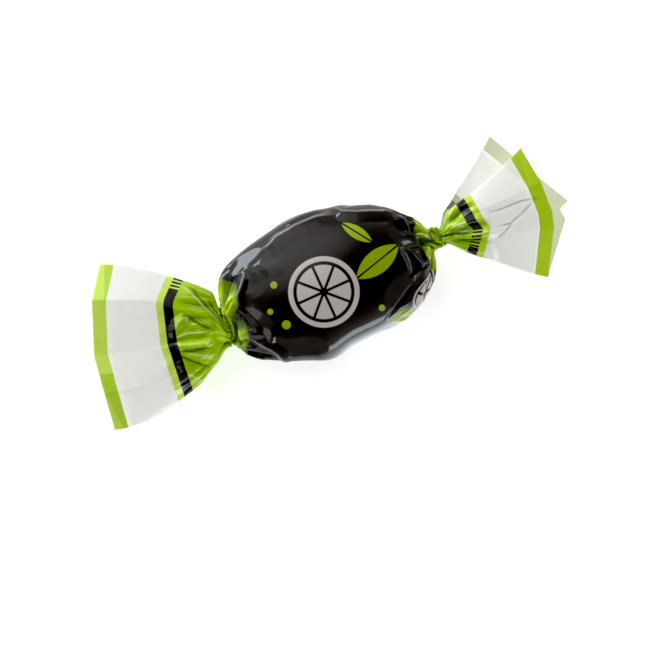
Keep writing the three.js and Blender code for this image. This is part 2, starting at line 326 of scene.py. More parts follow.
# Folds of slack film on the sweet: a line seen from above, a height, and a width to its left and its right
TOP_FOLDS = [
    ([(-10.2, 6.0), (-8.0, 6.8), (-5.4, 7.9)], -0.18, 0.35, 1.9),
    ([(-10.6, 6.0), (-11.5, 4.8), (-12.6, 3.6), (-13.3, 2.0)], 0.5, 0.5, 0.4),
    ([(-10.5, 5.6), (-7.8, 5.2), (-4.6, 4.6)], 0.12, 0.7, 0.9),
    ([(-6.9, 7.7), (-4.5, 8.5), (-1.5, 8.8), (1.5, 8.7), (4.2, 8.3)], 0.46, 0.35, 1.2),
    ([(-4.0, 9.5), (0.0, 9.7), (3.5, 9.4)], 0.3, 0.4, 0.8),
    ([(4.4, 9.4), (5.4, 7.9), (7.2, 7.0), (8.8, 6.4), (12.8, 4.6)], 0.5, 0.9, 0.8),
    ([(5.8, 8.6), (7.6, 8.5), (9.6, 7.7), (11.6, 5.9)], -0.25, 0.4, 0.3),
    ([(12.0, 4.7), (12.8, 2.7), (13.4, 1.2)], 0.35, 0.35, 0.6),
    ([(10.2, 0.4), (10.6, -2.0), (10.4, -4.4)], 0.28, 0.3, 0.9),
    ([(10.4, -4.6), (11.5, -4.2), (13.9, -3.9)], 0.35, 0.35, 0.4),
    ([(11.9, -0.6), (12.5, -3.0), (12.4, -5.2)], 0.3, 0.3, 0.4),
    ([(12.0, -6.0), (9.6, -8.0), (6.4, -9.4), (3.0, -10.0)], 0.55, 1.5, 0.4),
    ([(10.6, -5.2), (8.2, -6.6), (5.8, -7.7), (3.6, -9.2)], -0.14, 0.3, 0.12),
    ([(-14.2, -2.4), (-12.6, -4.2), (-11.2, -6.5), (-10.0, -8.6)], 0.5, 0.7, 0.3),
    ([(-15.2, -3.4), (-14.2, -4.6), (-12.6, -6.8)], 0.35, 0.4, 0.4),
    ([(-10.1, -2.4), (-11.4, -4.9), (-11.2, -6.6)], 0.25, 0.35, 0.8),
    ([(-13.6, 1.6), (-12.8, -0.8), (-12.2, -3.0)], 0.3, 0.35, 0.8),
    ([(13.3, 3.2), (13.9, 0.7), (14.6, -1.2), (15.2, -2.6)], -0.4, 0.2, 0.25),
    ([(13.7, 3.4), (14.3, 1.0), (15.0, -0.8), (15.4, -2.2)], 0.3, 0.2, 0.2),
    ([(14.9, 2.0), (15.5, 0.0), (15.7, -2.1)], -0.35, 0.2, 0.25),
    ([(15.6, 1.6), (16.2, 0.2), (16.5, -1.4)], 0.26, 0.2, 0.25),
    ([(-16.4, 3.2), (-16.1, 2.0), (-16.0, -0.1), (-16.3, -2.1)], -0.4, 0.22, 0.28),
    ([(-14.9, 4.4), (-15.2, 2.4), (-15.4, 0.6)], 0.3, 0.25, 0.3),
    ([(-15.3, 0.4), (-15.5, -2.0), (-15.4, -3.8)], -0.4, 0.22, 0.28),
    ([(-14.8, 1.4), (-14.9, -1.2), (-14.6, -3.4)], 0.26, 0.25, 0.3),
    ([(-14.0, 0.8), (-13.4, -1.2), (-12.6, -2.2)], -0.3, 0.25, 0.3),
]

# Where the film lies flat over the sweet, and how deep the flat patch is cut into the round shape
FACETS = [
    ((-10.4, 7.3), 0.2),
    ((-11.2, 4.6), 0.25),
    ((-13.4, -1.6), 0.3),
    ((-12.0, -5.4), 0.35),
    ((-7.4, -7.2), 0.2),
    ((9.6, -5.6), 0.3),
    ((12.2, -3.6), 0.35),
    ((13.0, 1.2), 0.3),
    ((8.4, 8.2), 0.2),
]


def ring(x, angle, centre_y, centre_z, half_width, half_height):
    y = centre_y + half_width * np.cos(angle)
    z = centre_z + half_height * np.sin(angle)
    return np.stack([x, y, z], axis=-1)


def flatten(points, normal, centre, depth):
    """Cuts a flat patch into the top of a rounded shape, along its surface at a place seen from above."""
    away = np.hypot(points[..., 0] - centre[0], points[..., 1] - centre[1])
    away = away + 100 * (normal[..., 2] < 0)
    row, column = np.unravel_index(np.argmin(away), away.shape)
    facing = normal[row, column]
    above = np.maximum(0, (points - points[row, column]) @ facing + depth)
    return points - above[..., None] * facing


def bulges(x, across):
    """How far slack film stands out beside the sweet, on the near side and the far side."""
    near = 0.8 * np.exp(-(((x + 4.4) / 2.6) ** 2))
    far = 0.5 * np.exp(-(((x + 1.8) / 3.0) ** 2))
    return np.where(across > 0, far, near)


def sleeve_form():
    """Points of the sleeve before it is creased, with the angle round it and the place along the film."""
    eased = np.linspace(-1, 1, SLEEVE_ALONG)
    span = 0.72 * eased + 0.28 * eased**3
    xs = np.where(span < 0, -LEFT["neck"][0] * span, RIGHT["neck"][0] * span)
    angles = np.arange(SLEEVE_ROUND) * 2 * math.pi / SLEEVE_ROUND
    x, angle = np.meshgrid(xs, angles, indexing="ij")
    across = np.cos(angle)
    distance = np.abs(x)
    to_neck = smoothstep(distance, NECK_FROM, np.abs(neck_value(x, "neck", 0)))
    centre_y = neck_value(x, "neck", 1) * to_neck
    centre_z = mix(HALF_HEIGHT - REST_SINK, neck_value(x, "neck", 2), to_neck)
    half_width = rounded_max(HALF_WIDTH * outline_share(x, across), neck_value(x, "neck_half", 0))
    half_width = half_width + bulges(x, across)
    half_height = rounded_max(HALF_HEIGHT * height_share(x), neck_value(x, "neck_half", 1))
    points = ring(x, angle, centre_y, centre_z, half_width, half_height)
    points, film_x = add_pinches(points, x, angle)
    return points, np.broadcast_to(angles, film_x.shape), film_x


def sleeve_grid():
    """The same with facets, gathers and creases, and with what the material reads there."""
    points, angle, film_x = sleeve_form()
    x, y = points[..., 0], points[..., 1]
    distance = np.abs(film_x)
    normal = grid_normals(points, closed=True)
    for centre, depth in FACETS:
        points = flatten(points, normal, centre, depth)
    normal = grid_normals(points, closed=True)
    left_folds, right_folds = (gather(angle, distance, end["seed"]) for end in (LEFT, RIGHT))
    folds = np.where(film_x < 0, left_folds, right_folds)
    upward = smoothstep(normal[..., 2], -0.15, 0.25)
    slack, crest, groove = lay_folds(x, y, TOP_FOLDS, SLEEVE_GROOVE_WIDTH, SLEEVE_SOFT_FOLD)
    sides = smoothstep(np.abs(np.cos(angle)), 0.5, 0.85) * smoothstep(distance, 1.0, 9.0)
    facets = crumple(film_x * 0.55, angle * 7.0, seed=5, size=6.4, count=4) * 0.08 * sides
    points = points + normal * (folds + slack * upward + facets)[..., None]
    points[..., 2] = np.maximum(points[..., 2], 0.0)
    return points, angle, film_x, {"fold": folds, "crest": crest * upward, "groove": groove * upward}


def add_pinches(points, x, angle):
    """The grid with rows added at both ends, where the neck closes to the pinch."""
    rows = [points]
    places = [x]
    for end, at_start in ((LEFT, True), (RIGHT, False)):
        last = points[0] if at_start else points[-1]
        share = np.linspace(0, 1, PINCH_ROWS + 1)[1:, None]
        pinch_x = np.full_like(angle[:1], end["pinch"][0])
        radius = end["pinch_radius"]
        goal = ring(pinch_x, angle[:1], *end["pinch"][1:], radius, radius)
        closing = smoothstep(share, 0, 1)[..., None]
        added = mix(last[None], goal, closing)
        added[..., 0] = mix(last[None, :, 0], end["pinch"][0], share)
        reach = end["neck"][0] + end["side"] * PINCH_LENGTH * share * np.ones_like(angle[:1])
        rows = [added[::-1]] + rows if at_start else rows + [added]
        places = [reach[::-1]] + places if at_start else places + [reach]
    return np.concatenate(rows), np.concatenate(places)


def grid_normals(points, closed):
    """Unit normals of a grid of points. A closed grid joins its last column to its first."""
    along = np.gradient(points, axis=0)
    if closed:
        around = np.roll(points, -1, axis=1) - np.roll(points, 1, axis=1)
    else:
        around = np.gradient(points, axis=1)
    normal = np.cross(around, along)
    return normal / np.maximum(np.linalg.norm(normal, axis=-1, keepdims=True), 1e-9)


# ------------ the fans
# Folds on top of each fan: line, height, width left and right of it
LEFT_FOLDS = [
    ([(-19.6, 8.4), (-18.4, 5.6), (-17.2, 2.4), (-16.6, 0.2)], 0.55, 0.6, 0.9),
    ([(-18.6, 7.4), (-17.6, 4.4), (-16.7, 1.0)], -0.5, 0.35, 0.35),
    ([(-17.0, 4.6), (-16.4, 2.2), (-16.4, 0.0)], -0.4, 0.3, 0.3),
    ([(-23.8, 1.0), (-23.2, 2.4), (-22.2, 3.4), (-21.2, 3.7), (-20.3, 3.4)], 0.5, 0.5, 0.8),
    ([(-20.9, 4.2), (-19.6, 2.2), (-18.0, 0.2)], -0.4, 0.25, 0.5),
    ([(-24.3, 0.9), (-22.4, 0.1), (-20.6, -0.5), (-18.4, -1.0)], 0.55, 0.35, 0.5),
    ([(-23.6, -0.2), (-21.8, -1.2), (-19.6, -1.5)], -0.4, 0.3, 0.3),
    ([(-24.1, 1.7), (-21.4, 1.4), (-18.6, 0.4)], 0.4, 0.5, 0.35),
    ([(-24.0, -0.6), (-22.6, -2.3), (-20.6, -4.2)], -0.5, 0.3, 0.4),
    ([(-23.0, -0.8), (-21.0, -2.2), (-18.9, -3.0)], 0.35, 0.4, 0.4),
    ([(-24.8, -2.0), (-24.0, -3.6), (-22.6, -5.2)], 0.4, 0.5, 0.8),
    ([(-25.2, 5.4), (-26.6, 6.4), (-28.4, 8.6)], 0.07, 0.5, 0.8),
    ([(-24.6, -1.0), (-25.8, -1.6), (-27.0, -1.5)], 0.09, 0.6, 0.6),
]
RIGHT_FOLDS = [
    ([(18.4, -1.1), (19.8, -1.6), (22.0, -2.7), (24.2, -3.5)], 0.6, 0.5, 0.8),
    ([(18.6, -2.0), (20.6, -3.2), (22.6, -3.7)], -0.4, 0.3, 0.3),
    ([(18.4, 0.3), (20.8, 1.1), (23.0, 1.3)], -0.35, 0.3, 0.4),
    ([(18.0, -0.3), (20.6, -0.5), (23.6, -0.9)], 0.35, 0.4, 0.5),
    ([(18.2, 0.8), (20.2, 2.2), (21.6, 3.2)], 0.35, 0.4, 0.5),
    ([(22.8, -4.2), (22.6, -5.8), (22.2, -7.4)], 0.4, 0.4, 0.6),
    ([(24.2, -2.9), (26.4, -3.3), (28.6, -2.6), (31.2, -1.5)], -0.2, 0.3, 0.16),
    ([(23.8, -0.6), (26.0, -0.9), (29.0, -1.0), (31.7, -1.7)], -0.12, 0.25, 0.35),
    ([(23.6, -4.4), (25.2, -4.0), (26.6, -3.4)], -0.2, 0.16, 0.25),
]


def lay_folds(x, y, fold_list, groove_width=CREST_WIDTH, clear_crest=SOFT_FOLD):
    """Height of a list of folds, and how near a point is to a crest and to a groove, from 0 to 1."""
    ridge, dip, crest, groove = (np.zeros_like(x) for _ in range(4))
    for line, height, left, right in fold_list:
        height_here = crease(x, y, line, abs(height), left, right)
        if height > 0:
            ridge = np.maximum(ridge, height_here)
            crest_here = crease(x, y, line, 1.0, CREST_WIDTH, CREST_WIDTH, 0.03)
            crest = np.maximum(crest, crest_here * (height > clear_crest))
        else:
            dip = np.maximum(dip, height_here)
            groove = np.maximum(groove, crease(x, y, line, 1.0, groove_width, groove_width, 0.03))
    return ridge - dip, crest, groove


def edge_columns(end):
    """For each column of a fan's film, from the free edge below, round the near fold, to the one above: its
    outer end, its layer (-1 below, 1 above), its share of the way across that layer and round the pinch, and
    its place along the cut edge."""
    corners = [np.array(ray, float) for ray in end["below"] + end["above"]]
    steps = [float(np.linalg.norm(b - a)) for a, b in zip(corners, corners[1:])]
    walked = np.concatenate([[0], np.cumsum(steps)])
    places = np.linspace(0, walked[-1], FAN_ACROSS)
    rays = np.stack([np.interp(places, walked, [c[k] for c in corners]) for k in range(3)], axis=-1)
    below_count = len(end["below"])
    fold_from, fold_to = walked[below_count - 1], walked[below_count]
    layer = np.interp(places, [fold_from, fold_to], [-1, 1])
    below = np.clip(places / fold_from, 0, 1)
    above = np.clip((places - fold_to) / (walked[-1] - fold_to), 0, 1)
    share = np.where(places < (fold_from + fold_to) / 2, below, above)
    round_share = np.interp(places, [0, fold_from, fold_to, walked[-1]], [0, 0.49, 0.51, 1])
    return rays, layer, share, round_share, places


def film_width(end):
    """Length of a fan's cut edge, from one free side of the film to the other."""
    corners = end["below"] + end["above"]
    return sum(math.dist(a, b) for a, b in zip(corners, corners[1:]))


def edge_distance(along, across, corners):
    """Distance as seen from above, in the fan's own frame, from the cut edge that joins the rays' ends."""
    best = np.full_like(along, 1e9)
    for (along_a, across_a, _), (along_b, across_b, _) in zip(corners, corners[1:]):
        length = math.hypot(along_b - along_a, across_b - across_a)
        dx = (along_b - along_a) / length
        dy = (across_b - across_a) / length
        walked = np.clip((along - along_a) * dx + (across - across_a) * dy, 0, length)
        away = np.hypot(along - along_a - dx * walked, across - across_a - dy * walked)
        best = np.minimum(best, away)
    return best


def cut_edge_distance(end, along, across, layer, from_fold):
    """Distance from the cut edge of a point's own layer, the same for both at the fold between them."""
    below = edge_distance(along, across, end["below"])
    above = edge_distance(along, across, end["above"])
    own = np.where(layer > 0, above, below)
    return mix(own, (below + above) / 2, np.exp(-from_fold / 1.2))


def spread(end, share, across, layer):
    """How far across its fan a point is. Each side starts at its own share and opens at its own rate."""
    result = np.zeros_like(share)
    above = (layer + 1) / 2
    for key, part in (("far_above", above), ("far_below", 1 - above), ("near", 1.0)):
        start, rate = end["opening"][key]
        on_side = across > 0 if key != "near" else across <= 0
        result = result + on_side * part * (1 - (1 - start) * (1 - share) ** rate)
    return across * result


def fan_place(end, along, across):
    """Object x and y of a place in the fan's frame."""
    angle = end["angle"]
    left = end["side"] * across
    x = end["neck"][0] + along * np.cos(angle) - left * np.sin(angle)
    y = end["neck"][1] + along * np.sin(angle) + left * np.cos(angle)
    return x, y


def to_fan_frame(end, x, y):
    """Along and across in the fan's frame, from object x and y."""
    cos, sin = math.cos(end["angle"]), math.sin(end["angle"])
    dx = x - end["neck"][0]
    dy = y - end["neck"][1]
    return dx * cos + dy * sin, end["side"] * (-dx * sin + dy * cos)


def fan_form(end, share, columns):
    """Points of a fan's film before it is creased, with their places in the fan's frame, their angle round
    the pinch and how far the film has opened there."""
    rays, layer, inside_share, round_share, _ = columns
    along_end, across_end, height_end = (np.broadcast_to(rays[:, k], share.shape) for k in range(3))
    angle = np.broadcast_to(-2 * math.pi * round_share, share.shape)
    radius = end["pinch_radius"]
    pinch_along, pinch_across = to_fan_frame(end, *end["pinch"][:2])
    # The film leaves the pinch at right angles and is the open fan a little further out
    opened = smoothstep(share, 0.0, FAN_OPENS)
    across = mix(pinch_across, spread(end, share, across_end, layer), opened)
    across = across + radius * np.cos(angle) * (1 - opened)
    along = mix(pinch_along - ROOT_OVERLAP * (1 - opened), along_end, share)
    bulge = layer * (BULGE * np.sqrt(np.sin(math.pi * inside_share)) + FOLD_GAP / 2)
    z = mix(end["pinch"][2] + layer * FOLD_GAP / 2, height_end, share)
    z = z + bulge * np.sqrt(share) * (1 - share)
    z = z + radius * np.sin(angle) * (1 - opened)
    x, y = fan_place(end, along, across)
    return np.stack([x, y, z], axis=-1), along, across, angle, opened


def fan_folds(end, share, columns, angle, opened):
    """Depth of a fan's folds: large and small facets near the pinch, and the gather at its root."""
    _, _, _, round_share, edge_place = columns
    seed = end["seed"]
    narrow = mix(0.25, 1.0, smoothstep(share, 0.0, 0.25))
    loose = 1 - smoothstep(share, 0.12, 0.6)
    loose = loose * mix(1.0, 0.45, smoothstep(round_share, 0.72, 0.88))
    place = edge_place * np.ones_like(share)
    large = crumple(place, share * 5.0, seed, size=4.0, count=6)
    small = crumple(place, share * 6.0, seed + 5, size=1.7, count=6)
    distance = abs(end["neck"][0]) + PINCH_LENGTH + share * GATHER_RUN
    return (large * 0.75 + small * 0.16) * narrow * loose + gather(angle, distance, seed) * (1 - opened)


def fan_grid(end, fold_list):
    """Points of a fan's film from the pinch out, their places along and from the cut edge, what the
    material reads there, and their layer."""
    columns = edge_columns(end)
    layer, edge_place = columns[1], columns[4]
    outward = np.linspace(0, 1, FAN_ALONG) ** 1.2
    share = np.broadcast_to(outward[:, None], (FAN_ALONG, FAN_ACROSS))
    points, along, across, angle, opened = fan_form(end, share, columns)
    x, y = points[..., 0], points[..., 1]
    folds = fan_folds(end, share, columns, angle, opened)
    flat = crumple(x, y, end["seed"] + 3, size=6.0, count=4) * 0.03 * smoothstep(share, 0.3, 0.5)
    slack, crest, groove = lay_folds(x, y, fold_list)
    above = layer > 0
    marks = {"fold": folds, "crest": np.where(above, crest, 0), "groove": np.where(above, groove, 0)}
    points = points + outward_normals(points, layer) * (folds + flat)[..., None]
    points[..., 2] += np.where(above, slack * smoothstep(share, 0.03, 0.12), 0)
    points[..., 2] = np.maximum(points[..., 2], LOWEST)
    from_fold = np.abs(edge_place - np.interp(0, layer, edge_place)) * mix(0.1, 1.0, share)
    out = cut_edge_distance(end, along, across, layer, from_fold)
    return points, edge_place, out, marks, layer


def outward_normals(points, layer):
    """Unit normals that point away from between a fan's layers."""
    normal = grid_normals(points, closed=False)
    upward = float(np.mean(normal[..., 2] * layer))
    return normal if upward > 0 else -normal


# ------------ meshes
def quads(rows, columns, closed):
    """The four corners of each face of a grid."""
    across = columns if closed else columns - 1
    row, column = np.meshgrid(np.arange(rows - 1), np.arange(across), indexing="ij")
    following = (column + 1) % columns
    faces = [row * columns + column, row * columns + following]
    faces += [(row + 1) * columns + following, (row + 1) * columns + column]
    return np.stack(faces, axis=-1).reshape(-1, 4)


def add_object(name, data):
    item = bpy.data.objects.new(name, data)
    bpy.context.scene.collection.objects.link(item)
    return item


def make_mesh(name, points, faces, uv, materials, face_material=None):
    mesh = bpy.data.meshes.new(name)
    mesh.from_pydata((points * MM).tolist(), [], faces.tolist())
    layer = mesh.uv_layers.new(name="film")
    corners = np.empty(len(mesh.loops), dtype=np.int32)
    mesh.loops.foreach_get("vertex_index", corners)
    layer.data.foreach_set("uv", uv[corners].astype(np.float32).ravel())
    for material in materials:
        mesh.materials.append(material)
    if face_material is not None:
        mesh.polygons.foreach_set("material_index", face_material.astype(np.int32))
    mesh.polygons.foreach_set("use_smooth", np.ones(len(mesh.polygons), dtype=bool))
    mesh.update()
    return add_object(name, mesh)


def face_outwards(points, faces):
    """The faces, turned round where the mesh would be inside out."""
    a, b, c, d = (points[faces[:, k]] for k in range(4))
    volume = np.sum(a * (np.cross(b, c) + np.cross(c, d)))
    return faces if volume > 0 else faces[:, ::-1]


def make_sleeve(material):
    grid, angle, film_x, marks = sleeve_grid()
    rows, columns = grid.shape[:2]
    points = grid.reshape(-1, 3)
    faces = face_outwards(points, quads(rows, columns, closed=True))
    uv = np.stack([angle / (2 * math.pi), film_x / UV_SPAN + 0.5], axis=-1).reshape(-1, 2)
    piece = make_mesh("sleeve", points, faces, uv, [material])
    for key, values in marks.items():
        store(piece, key, values)
    return piece


def store(piece, name, values):
    """Keeps a number for each vertex, which the material reads."""
    layer = piece.data.attributes.new(name, "FLOAT", "POINT")
    layer.data.foreach_set("value", values.astype(np.float32).ravel())


def make_fan(name, end, fold_list, outside, inside):
    """A fan's film as a thin closed shell, with its printed side out."""
    grid, edge_place, out, marks, layer = fan_grid(end, fold_list)
    rows, columns = grid.shape[:2]
    normal = outward_normals(grid, layer)
    outer = grid.reshape(-1, 3)
    inner = (grid - normal * FILM_THICK).reshape(-1, 3)
    points = np.concatenate([outer, inner])
    count = rows * columns
    front = quads(rows, columns, closed=False)
    back = front[:, ::-1] + count
    rim = rim_quads(rows, columns, count)
    faces = np.concatenate([front, back, rim])
    uv = np.stack([np.broadcast_to(edge_place, out.shape), out], axis=-1).reshape(-1, 2) / UV_SPAN
    which = np.concatenate([np.zeros(len(front)), np.ones(len(back)), np.zeros(len(rim))])
    turned = face_outwards(points, faces)
    piece = make_mesh(name, points, turned, np.concatenate([uv, uv]), [outside, inside], which)
    for key, values in marks.items():
        store(piece, key, np.concatenate([values.ravel(), values.ravel()]))
    return piece


def rim_quads(rows, columns, count):
    """Faces that join the two sides of a sheet round its border."""
    top = np.arange(columns)
    bottom = (rows - 1) * columns + np.arange(columns)
    first = np.arange(rows) * columns
    last = first + columns - 1
    border = np.concatenate([top, last[1:], bottom[::-1][1:], first[::-1][1:-1]])
    following = np.roll(border, -1)
    return np.stack([following, border, border + count, following + count], axis=-1)


# ------------ materials
class Nodes:
    """Adds nodes to a material or a world with one call each."""

    def __init__(self, owner):
        owner.use_nodes = True
        self.tree = owner.node_tree
        self.tree.nodes.clear()

    def add(self, kind, inputs=(), **settings):
        node = self.tree.nodes.new(kind)
        for key, value in settings.items():
            setattr(node, key, value)
        for key, value in dict(inputs).items():
            self.put(node.inputs[key], value)
        return node

    def put(self, socket, value):
        if hasattr(value, "is_output"):
            self.tree.links.new(value, socket)
        elif isinstance(value, tuple) and len(value) == 3 and socket.type == "RGBA":
            socket.default_value = (*value, 1)
        else:
            socket.default_value = value

    def math(self, operation, *values):
        node = self.add("ShaderNodeMath", operation=operation)
        for socket, value in zip(node.inputs, values):
            self.put(socket, value)
        return node.outputs[0]

    def multiply(self, first, *others):
        for other in others:
            first = self.math("MULTIPLY", first, other)
        return first

    def highest(self, first, *others):
        for other in others:
            first = self.math("MAXIMUM", first, other)
        return first

    def negative(self, value):
        return self.math("MULTIPLY", value, -1.0)

    def opposite(self, value):
        """0 where the value is 1, and 1 where it is 0."""
        return self.math("SUBTRACT", 1.0, value)

    def scaled(self, value, factor, start):
        """The value times a factor, added to a start."""
        return self.math("ADD", self.math("MULTIPLY", value, factor), start)

    def ramp(self, value, source, target, **settings):
        """A number that goes over the target while the value goes over the source."""
        keys = ("Value", "From Min", "From Max", "To Min", "To Max")
        inputs = dict(zip(keys, (value, *source, *target)))
        return self.add("ShaderNodeMapRange", inputs, **settings).outputs["Result"]

    def step(self, value, threshold, soft):
        """0 below the threshold and 1 above it."""
        return self.ramp(value, (threshold - soft, threshold + soft), (0.0, 1.0))

    def below(self, value, threshold, soft):
        """1 below the threshold and 0 above it."""
        return self.opposite(self.step(value, threshold, soft))

    def between(self, value, low, high, soft):
        return self.multiply(self.step(value, low, soft), self.below(value, high, soft))

    def blend(self, factor, a, b):
        inputs = {"Factor": factor, "A": a, "B": b}
        return self.add("ShaderNodeMix", inputs, data_type="RGBA").outputs["Result"]

    def tinted(self, colour, *layers):
        """A colour with others laid over it in turn, each as far as its place and its strength say."""
        for place, strength, other in layers:
            colour = self.blend(self.multiply(place, strength), colour, other)
        return colour

    def parts(self, vector):
        split = self.add("ShaderNodeSeparateXYZ", {"Vector": vector})
        return split.outputs["X"], split.outputs["Y"], split.outputs["Z"]

    def uv(self):
        return self.parts(self.add("ShaderNodeUVMap", uv_map="film").outputs["UV"])[:2]

    def place(self):
        """The object's own coordinates in millimetres."""
        inputs = {0: self.add("ShaderNodeTexCoord").outputs["Object"], "Scale": 1 / MM}
        return self.add("ShaderNodeVectorMath", inputs, operation="SCALE").outputs[0]

    def stored(self, name):
        return self.add("ShaderNodeAttribute", attribute_name=name).outputs["Fac"]

    def curve(self, value, points, low, high, bends="AUTO"):
        """A number read from a line through a few points, whose values lie between low and high."""
        node = self.add("ShaderNodeFloatCurve")
        places = [place for place, _ in points]
        first, last = places[0], places[-1]
        line = node.mapping.curves[0]
        while len(line.points) < len(points):
            line.points.new(0.5, 0.5)
        for point, (place, height) in zip(line.points, points):
            point.location = ((place - first) / (last - first), (height - low) / (high - low))
            point.handle_type = bends
        node.mapping.update()
        shifted = self.math("SUBTRACT", value, first)
        self.put(node.inputs["Value"], self.math("DIVIDE", shifted, last - first))
        return self.scaled(node.outputs["Value"], high - low, low)

    def noise(self, vector, scale, detail=2.0, rough=0.5):
        inputs = {"Vector": vector, "Scale": scale, "Detail": detail, "Roughness": rough}
        return self.add("ShaderNodeTexNoise", inputs).outputs["Fac"]

    def surface(self, settings, shader="ShaderNodeBsdfPrincipled", output="ShaderNodeOutputMaterial"):
        """A shader with these settings, joined to the output."""
        self.add(output, {"Surface": self.add(shader, settings).outputs[0]})


def crinkle_bump(nodes, strength, scale):
    """Fine crinkles: small flat facets and soft unevenness."""
    place = nodes.place()
    cells = nodes.add("ShaderNodeTexVoronoi", {"Vector": place, "Scale": scale}, feature="F1")
    soft = nodes.noise(place, scale * 0.45, 3.0, 0.55)
    height = nodes.scaled(cells.outputs["Distance"], 0.4, soft)
    inputs = {"Strength": strength, "Distance": CRINKLE_DEPTH, "Height": height}
    return nodes.add("ShaderNodeBump", inputs).outputs["Normal"]


def film_shader(nodes, colour, alpha, normal, sheen):
    """Printed film: a soft sheen from the print, and clear glints from the film's skin."""
    nodes.surface({
        "Base Color": colour,
        "Roughness": nodes.scaled(nodes.noise(nodes.place(), 0.7, 2.0), 0.2, 0.25),
        "Specular IOR Level": sheen,
        "Coat Weight": 0.5,
        "Coat Roughness": 0.07,
        "Alpha": alpha,
        "Normal": normal,
        "Coat Normal": normal,
    })


def disc(nodes, x, y, centre, radius):
    """1 inside a circle, with the distance from its centre, all told and along x and y."""
    dx = nodes.math("SUBTRACT", x, centre[0])
    dy = nodes.math("SUBTRACT", y, centre[1])
    away = nodes.math("SQRT", nodes.math("ADD", nodes.multiply(dx, dx), nodes.multiply(dy, dy)))
    return nodes.below(away, radius, PRINT_SOFT), away, dx, dy


def fruit_slice(nodes, x, y, centre, radius, parts):
    """A round slice of fruit: a rim, and parts with gaps between them."""
    whole, away, dx, dy = disc(nodes, x, y, centre, radius)
    within = nodes.below(away, radius * SLICE_RIM, PRINT_SOFT)
    flesh = nodes.below(away, radius * SLICE_FLESH, PRINT_SOFT)
    hub = nodes.step(away, radius * SLICE_HUB, PRINT_SOFT)
    turn = nodes.math("ADD", nodes.math("ARCTAN2", dy, dx), 10 * math.pi)
    part = nodes.math("PINGPONG", turn, math.pi / parts)
    gap = nodes.step(nodes.multiply(away, nodes.math("SINE", part)), SLICE_GAP, PRINT_SOFT)
    return nodes.highest(nodes.math("SUBTRACT", whole, within), nodes.multiply(flesh, hub, gap))


def leaf(nodes, x, y, first, second, radius):
    """A leaf: where two circles overlap, less a line down its middle."""
    one, away_one, _, _ = disc(nodes, x, y, first, radius)
    two, away_two, _, _ = disc(nodes, x, y, second, radius)
    off_middle = nodes.math("ABSOLUTE", nodes.math("SUBTRACT", away_one, away_two))
    return nodes.multiply(one, two, nodes.step(off_middle, LEAF_VEIN, PRINT_SOFT))


def body_marks(nodes, x, y, z, unrolled):
    """Where the body has grey print and where lime: on top, and again where the film comes round, which is
    underneath and on the near side."""
    on_top = nodes.step(z, TOP_FROM, 0.3)
    underneath = nodes.below(z, UNDER_TO, 0.3)
    grey = nodes.highest(
        nodes.multiply(fruit_slice(nodes, x, y, *SLICE_ON_TOP), on_top),
        nodes.multiply(fruit_slice(nodes, x, y, *SLICE_UNDER), underneath),
        fruit_slice(nodes, x, unrolled, *SLICE_AT_SIDE),
    )
    top_lime = [leaf(nodes, x, y, *shape) for shape in LEAVES_ON_TOP]
    top_lime += [disc(nodes, x, y, *shape)[0] for shape in DROPS]
    lime = nodes.highest(
        nodes.multiply(nodes.highest(*top_lime), on_top),
        nodes.multiply(leaf(nodes, x, y, *LEAF_UNDER), underneath),
        leaf(nodes, x, unrolled, *LEAF_AT_SIDE),
    )
    return grey, lime


def margin_and_sheen(nodes, x, unrolled):
    """The film's unprinted margin along the near side, painted milky with a soft inner edge: partly the
    margin's own colour and partly a painted reflection of the pale floor.
    """
    across = nodes.multiply(nodes.step(unrolled, 22.6, 1.8), nodes.below(unrolled, 28.0, 0.1))
    along = nodes.multiply(nodes.step(x, -3.6, 2.4), nodes.below(x, 9.6, 1.6))
    return nodes.multiply(across, along)


def black_limit(nodes, film_x, x, y, z, place):
    """How far past the end of the body's black print a point is, and whether it is on top at the left."""
    wander = nodes.multiply(nodes.math("SUBTRACT", nodes.noise(place, 0.5, 1.0), 0.5), 1.4)
    reach = nodes.math("ADD", nodes.math("ABSOLUTE", film_x), wander)
    on_left = nodes.multiply(nodes.step(nodes.negative(x), 0.0, SHARP), nodes.step(z, 5.0, 0.5))
    left_limit = nodes.curve(y, LEFT_BLACK, 11.0, 16.0)
    limit = nodes.scaled(nodes.math("SUBTRACT", left_limit, BODY_BLACK), on_left, BODY_BLACK)
    return nodes.math("SUBTRACT", reach, limit), on_left


def gather_lime(nodes, place, past_black, on_left):
    """The lime of the gathers, with painted shade in their folds and grooves, darker beside the black, and
    painted highlights on their crests.
    """
    # Painted shade in the deeper folds
    fold_shade = nodes.step(nodes.negative(nodes.stored("fold")), 0.1, 0.16)
    beside_black = nodes.multiply(nodes.below(past_black, 0.8, 0.8), nodes.scaled(on_left, 0.7, 0.15))
    lime = nodes.tinted(
        nodes.blend(nodes.noise(place, 0.5, 2.0), GATHER_LIME, GATHER_LIME_LIT),
        (fold_shade, 0.75, LIME_FOLD_SHADE),
        (nodes.stored("crest"), 0.4, LIME_CREST_HIGHLIGHT),
        (nodes.stored("groove"), 0.9, LIME_GROOVE_SHADE),
    )
    return nodes.blend(beside_black, lime, LIME_BY_BLACK)


